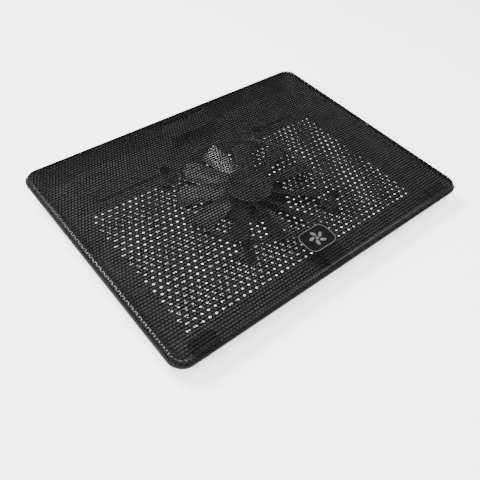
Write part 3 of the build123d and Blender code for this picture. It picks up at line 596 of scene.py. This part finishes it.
# half axes and depth of the rings down an oval hole's rounded lip and its wall; the
# second ring lies on the lip's quarter circle, at 45 degrees
LIP_CUT = 0.29
HOLE_PROFILE = [
    (HOLE_HALF + HOLE_ROUND, 0.0),
    (HOLE_HALF + LIP_CUT * HOLE_ROUND, LIP_CUT * HOLE_ROUND),
    (HOLE_HALF, HOLE_ROUND),
    (HOLE_HALF, SHEET),
]


def edge_frame(uv):
    """For points of the unrolled sheet: the nearest point of the flat top's outline,
    the outward direction there, and the distance past the outline."""
    core = np.array([FLAT_X - FLAT_CORNER, FLAT_Y - FLAT_CORNER])
    inner = np.clip(uv, -core, core)
    out = uv - inner
    beyond = np.hypot(out[:, 0], out[:, 1])
    direction = out / np.maximum(beyond, 1e-9)[:, None]
    return inner + direction * FLAT_CORNER, direction, beyond - FLAT_CORNER


def draw_back(uv):
    """Moves points past the sheet's cut edge back onto it."""
    nearest, direction, past = edge_frame(uv)
    outside = past > REACH
    back = uv.copy()
    back[outside] = (nearest + direction * REACH)[outside]
    return back


def fold(uv, depth):
    """Places points of the unrolled sheet, at a depth under its outer face."""
    nearest, direction, past = edge_frame(uv)
    turn = np.clip(past / SHOULDER, 0, pi / 2)
    radius = SHOULDER - depth
    out = nearest + direction * (radius * np.sin(turn))[:, None]
    down = SHOULDER - radius * np.cos(turn) + np.maximum(past - BEND, 0)
    flat = past <= 0
    out[flat] = uv[flat]
    return np.column_stack([out, SHEET_TOP - down])


def cell_rings():
    """The outline of one hole's hexagonal cell, as its corners and the middles of its
    sides, and the directions of those twelve points."""
    half = HOLE_PITCH / 2
    low = (ROW_PITCH**2 - half**2) / (2 * ROW_PITCH)
    corners = [
        (half, low), (0, ROW_PITCH - low), (-half, low),
        (-half, -low), (0, low - ROW_PITCH), (half, -low),
    ]
    outline = []
    for i, corner in enumerate(corners):
        before = corners[i - 1]
        outline.append(((before[0] + corner[0]) / 2, (before[1] + corner[1]) / 2))
        outline.append(corner)
    outline = np.array(outline)
    return outline, outline / np.hypot(outline[:, 0], outline[:, 1])[:, None]


def hole_centres():
    """Centres of the staggered holes over the whole unrolled sheet."""
    rows = int((FLAT_Y + REACH) / ROW_PITCH) + 1
    columns = int((FLAT_X + REACH) / HOLE_PITCH) + 1
    return LATTICE_ORIGIN + [
        ((column + 0.5 * (row % 2)) * HOLE_PITCH, row * ROW_PITCH)
        for row in range(-rows, rows + 1)
        for column in range(-columns - 1, columns + 2)
    ]


def bridge(before, after):
    """Quads between two matching rings of every cell."""
    follow = np.roll(np.arange(HOLE_SIDES), -1)
    quads = [before, before[:, follow], after[:, follow], after]
    return np.stack(quads, axis=-1).reshape(-1, 4)


def sheet_tile(name, centres):
    """One part of the sheet: top face, rounded holes, underside and cut edges."""
    outline, ways = cell_rings()
    rings = draw_back((centres[:, None] + outline).reshape(-1, 2))
    places = np.round(rings / WELD).astype(int)
    keys, ring_id = np.unique(places, axis=0, return_inverse=True)
    ring_id = ring_id.reshape(-1, HOLE_SIDES)
    shared = keys * WELD
    pierced = edge_frame(centres)[2] < HOLE_LIMIT
    holes = [
        ((centres[pierced, None] + half_axes * ways).reshape(-1, 2), depth)
        for half_axes, depth in HOLE_PROFILE
    ]
    middles = draw_back(centres[~pierced])
    layers = [(shared, 0.0), *holes, (shared, SHEET), (middles, 0.0), (middles, SHEET)]
    vertices = np.concatenate([fold(uv, depth) for uv, depth in layers])
    starts = np.cumsum([0] + [len(uv) for uv, depth in layers])
    under = starts[len(holes) + 1]

    # the pierced cells: from the top outline down the hole and back up underneath
    order = np.arange(HOLE_SIDES * pierced.sum()).reshape(-1, HOLE_SIDES)
    stack = [ring_id[pierced]]
    stack += [start + order for start in starts[1 : len(holes) + 1]]
    stack.append(under + ring_id[pierced])
    faces = [quad for pair in zip(stack, stack[1:]) for quad in bridge(*pair).tolist()]

    # the solid cells: a fan of triangles on top and one underneath
    follow = np.roll(np.arange(HOLE_SIDES), -1)
    solid = ring_id[~pierced]
    count = np.arange(len(solid))[:, None]
    for shift, middle_start, turn in ((0, starts[-3], 1), (under, starts[-2], -1)):
        middle = middle_start + np.repeat(count, HOLE_SIDES, axis=1)
        fans = np.stack([shift + solid, shift + solid[:, follow], middle], axis=-1)
        fans = fans.reshape(-1, 3)
        faces += fans[fans[:, 0] != fans[:, 1]][:, ::turn].tolist()

    # a wall down the tile's border, where an edge has no neighbour that runs back
    edges = np.stack([ring_id, ring_id[:, follow]], axis=-1).reshape(-1, 2)
    edges = edges[edges[:, 0] != edges[:, 1]]
    code = edges @ np.array([len(shared), 1])
    back = edges @ np.array([1, len(shared)])
    rim = edges[~np.isin(code, back)]
    wall = [rim[:, 1], rim[:, 0], rim[:, 0] + under, rim[:, 1] + under]
    faces += np.stack(wall, axis=-1).tolist()
    tile = new_piece(name, vertices.tolist(), faces, "mesh_metal")
    dull_the_fold(tile.data)
    return tile


def dull_the_fold(mesh):
    """Gives the faces of the folded edge the duller coat."""
    mesh.materials.append(FOLDED_METAL)
    middles = np.empty(3 * len(mesh.polygons))
    mesh.polygons.foreach_get("center", middles)
    folded = middles[2::3] < SHEET_TOP - DULL_DROP
    mesh.polygons.foreach_set("material_index", folded.astype(int))


def perforated_sheet():
    """The whole mesh panel, in six tiles."""
    centres = hole_centres()
    centres = centres[edge_frame(centres)[2] < REACH + HOLE_PITCH / 2]
    third = panel_high.x / 3
    columns = np.digitize(centres[:, 0], [-third, third])
    for column, side in enumerate(("left", "middle", "right")):
        for row, end in enumerate(("front", "rear")):
            part = centres[(columns == column) & ((centres[:, 1] > 0) == row)]
            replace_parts(sheet_tile(f"sheet_{end}_{side}", part), "top_mesh_panel")


perforated_sheet()

# ---------------------------------------------------------------- grip pads

GRIP_X = (-0.1615, 0.0, 0.1615)
GRIP_WIDTH = 0.025
GRIP_DEPTH = 0.012
NUB_SIDES = 16
# a pad's base plate: how far it reaches past the nubs, its corner and the corner's steps
PLATE_MARGIN = 0.0006
PLATE_CORNER = 0.003
CORNER_STEPS = 6
# a nub's neck fills its hole to this share, and its head is this much wider
NECK_SHARE = 0.97
HEAD_SHARE = 1.22
# the neck's lap under the sheet and over its top
LAP_UNDER = 0.0001
LAP_OVER = 0.00002
# the rounded head's half width and height, as shares, from its widest ring to its top
HEAD_PROFILE = ((1.0, 0.25), (0.93, 0.6), (0.72, 0.85), (0.42, 0.97), (0.12, 1.0))

grip_low, grip_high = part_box("front_grip_pads")
GRIP_Y = (grip_low.y + grip_high.y) / 2


def turned(profile, centre, sides, vertices, faces):
    """Adds an oval turned shape, closed at both ends, from a profile of size and height."""
    start = len(vertices)
    for (half_x, half_y), height in profile:
        for i in range(sides):
            turn = 2 * pi * i / sides
            vertices.append(
                (centre[0] + half_x * cos(turn), centre[1] + half_y * sin(turn), height)
            )
    for ring in range(len(profile) - 1):
        low, high = start + ring * sides, start + (ring + 1) * sides
        for i in range(sides):
            j = (i + 1) % sides
            faces.append((low + i, low + j, high + j, high + i))
    faces.append(tuple(start + i for i in reversed(range(sides))))
    last = start + (len(profile) - 1) * sides
    faces.append(tuple(last + i for i in range(sides)))


def grip_pads():
    """Rubber pads moulded through the sheet's holes, with a rounded nub on each."""
    vertices, faces = [], []
    under, top = SHEET_TOP - SHEET, SHEET_TOP
    rise = grip_high.z - top
    neck = HOLE_HALF * NECK_SHARE
    head = HOLE_HALF * HEAD_SHARE
    profile = [
        (neck, under - LAP_UNDER),
        (neck, top + LAP_OVER),
        (head * 0.94, top + 2 * LAP_OVER),
    ]
    profile += [(head * width, top + rise * height) for width, height in HEAD_PROFILE]
    for x, y in hole_centres():
        if abs(y - GRIP_Y) > GRIP_DEPTH / 2:
            continue
        if any(abs(x - middle) < GRIP_WIDTH / 2 for middle in GRIP_X):
            turned(profile, (x, y), NUB_SIDES, vertices, faces)
    for middle in GRIP_X:
        plate(middle, vertices, faces)
    piece = new_piece("grip_nubs", vertices, faces, "rubber_black")
    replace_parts(piece, "front_grip_pads")


def plate(middle, vertices, faces):
    """Adds a pad's rounded base plate under the sheet."""
    half_x = GRIP_WIDTH / 2 + PLATE_MARGIN
    half_y = GRIP_DEPTH / 2 + PLATE_MARGIN
    outline = []
    for quarter, (sx, sy) in enumerate(((1, 1), (-1, 1), (-1, -1), (1, -1))):
        corner_x = middle + sx * (half_x - PLATE_CORNER)
        corner_y = GRIP_Y + sy * (half_y - PLATE_CORNER)
        for step in range(CORNER_STEPS + 1):
            turn = pi / 2 * (quarter + step / CORNER_STEPS)
            outline.append(
                (corner_x + PLATE_CORNER * cos(turn), corner_y + PLATE_CORNER * sin(turn))
            )
    n, start = len(outline), len(vertices)
    for height in (grip_low.z, SHEET_TOP - SHEET):
        vertices.extend((x, y, height) for x, y in outline)
    faces.append(tuple(start + i for i in reversed(range(n))))
    faces.append(tuple(start + n + i for i in range(n)))
    for i in range(n):
        j = (i + 1) % n
        faces.append((start + i, start + j, start + n + j, start + n + i))


grip_pads()

# ---------------------------------------------------------------- floor and light

FLOOR_HALF = 6.0
FLOOR_GLOW = 1.6
# the surround's strength, its dark side's direction, and where the side begins and ends
# as the cosine of the angle from that direction
SURROUND = 1.0
SURROUND_DARK = 0.12
DARK_SIDE = Vector((0.53, 0.5, 0.69))
DARK_BEGINS = 0.55
DARK_WHOLE = 0.95
# each softbox's name, place, side and power; all face the pad's middle
SOFTBOXES = (
    ("overhead", (-0.44, 0.6, 1.1), 0.5, 36),
    ("left", (-1.0, 0.75, 0.67), 0.2, 12),
    ("fill", (-0.25, -0.3, 1.3), 0.8, 22),
    ("right", (0.75, -0.35, 0.9), 0.4, 5),
)


def pale_floor():
    """A plain pale table that glows a little from below, as a light table does."""
    surface = Surface("floor", grey(0.86), 0.7)
    surface.set("Emission Color", (1.0, 1.0, 1.0, 1.0))
    surface.set("Emission Strength", FLOOR_GLOW)
    mesh = bpy.data.meshes.new("floor")
    half = FLOOR_HALF
    corners = [(-half, -half, 0), (half, -half, 0), (half, half, 0), (-half, half, 0)]
    mesh.from_pydata(corners, [], [(0, 1, 2, 3)])
    mesh.materials.append(surface.material)
    floor = bpy.data.objects.new("floor", mesh)
    bpy.context.scene.collection.objects.link(floor)


def soft_light(name, place, size, power):
    """A square studio softbox that faces the pad's middle."""
    data = bpy.data.lights.new(name, "AREA")
    data.shape = "SQUARE"
    data.size = size
    data.energy = power
    light = bpy.data.objects.new(name, data)
    light.location = place
    light.rotation_mode = "QUATERNION"
    light.rotation_quaternion = (-Vector(place)).to_track_quat("-Z", "Y")
    bpy.context.scene.collection.objects.link(light)


def studio():
    """A white surround with a dark side at the rear right, and the softboxes."""
    world = bpy.data.worlds.new("studio")
    world.use_nodes = True
    nodes, links = world.node_tree.nodes, world.node_tree.links
    way = nodes.new("ShaderNodeTexCoord").outputs["Generated"]
    facing = nodes.new("ShaderNodeVectorMath")
    facing.operation = "DOT_PRODUCT"
    facing.inputs[1].default_value = DARK_SIDE.normalized()
    links.new(way, facing.inputs[0])
    level = nodes.new("ShaderNodeMapRange")
    level.interpolation_type = "SMOOTHSTEP"
    level.inputs["From Min"].default_value = DARK_BEGINS
    level.inputs["From Max"].default_value = DARK_WHOLE
    level.inputs["To Min"].default_value = SURROUND
    level.inputs["To Max"].default_value = SURROUND_DARK
    links.new(facing.outputs["Value"], level.inputs["Value"])
    links.new(level.outputs["Result"], nodes["Background"].inputs["Strength"])
    nodes["Background"].inputs["Color"].default_value = (1.0, 1.0, 1.0, 1.0)
    bpy.context.scene.world = world
    for softbox in SOFTBOXES:
        soft_light(*softbox)


pale_floor()
studio()
